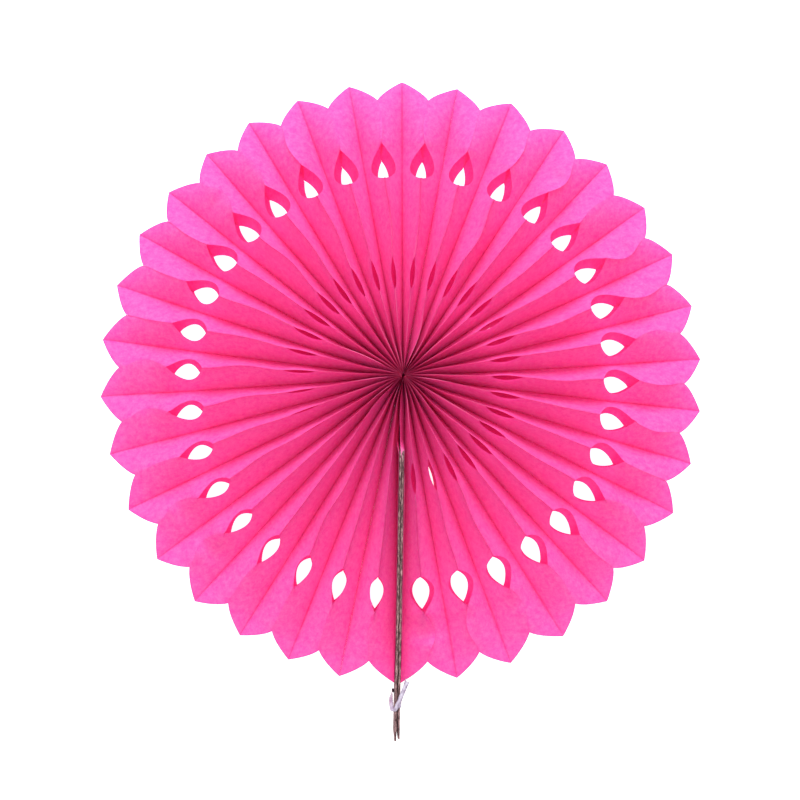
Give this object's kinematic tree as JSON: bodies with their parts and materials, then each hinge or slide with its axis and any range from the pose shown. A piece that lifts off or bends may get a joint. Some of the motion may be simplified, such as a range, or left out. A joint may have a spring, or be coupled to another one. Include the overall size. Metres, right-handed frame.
{
  "type": "paper fan rosette",
  "caption": "Round tissue paper fan rosette with pointed petals, a ring of teardrop holes, and chipboard end strips tied together at the seam.",
  "frame": {"origin": "on the fan's axis, in the plane of the back ridges' ends at the hub, where the fan lies on its back", "axes": "+Z along the fan's axis out of its front face, -Y along the seam and its two bare board ends, +X to the right seen from the front with the seam downwards"},
  "size_m": [0.2988, 0.3251, 0.0376],
  "materials": {
    "tissue": "matt translucent tissue",
    "chipboard": "raw grey chipboard, fibrous cut edge",
    "thread": "twisted cotton",
    "film": "thin frosted film"
  },
  "bodies": {
    "root": {"tissue_sleeve_01": "tissue", "tissue_sleeve_02": "tissue", "tissue_sleeve_03": "tissue", "tissue_sleeve_04": "tissue", "tissue_sleeve_05": "tissue", "tissue_sleeve_06": "tissue", "tissue_sleeve_07": "tissue", "tissue_sleeve_08": "tissue", "tissue_sleeve_09": "tissue", "tissue_sleeve_10": "tissue", "tissue_sleeve_11": "tissue", "tissue_sleeve_12": "tissue", "tissue_sleeve_13": "tissue", "tissue_sleeve_14": "tissue", "tissue_sleeve_15": "tissue", "tissue_sleeve_16": "tissue", "tissue_sleeve_17": "tissue", "tissue_sleeve_18": "tissue", "tissue_sleeve_19": "tissue", "tissue_sleeve_20": "tissue", "tissue_sleeve_21": "tissue", "tissue_sleeve_22": "tissue", "tissue_sleeve_23": "tissue", "tissue_sleeve_24": "tissue", "tissue_sleeve_25": "tissue", "tissue_sleeve_26": "tissue", "tissue_sleeve_27": "tissue", "tissue_sleeve_28": "tissue", "tissue_sleeve_29": "tissue", "tissue_sleeve_30": "tissue", "tissue_sleeve_31": "tissue", "tissue_sleeve_32": "tissue", "tissue_sleeve_33": "tissue", "tissue_sleeve_34": "tissue", "end_board_left": "chipboard", "end_board_right": "chipboard", "end_leaf_left": "tissue", "end_leaf_right": "tissue", "hub_thread": "thread", "film_tie": "film"}
  },
  "joints": []
}
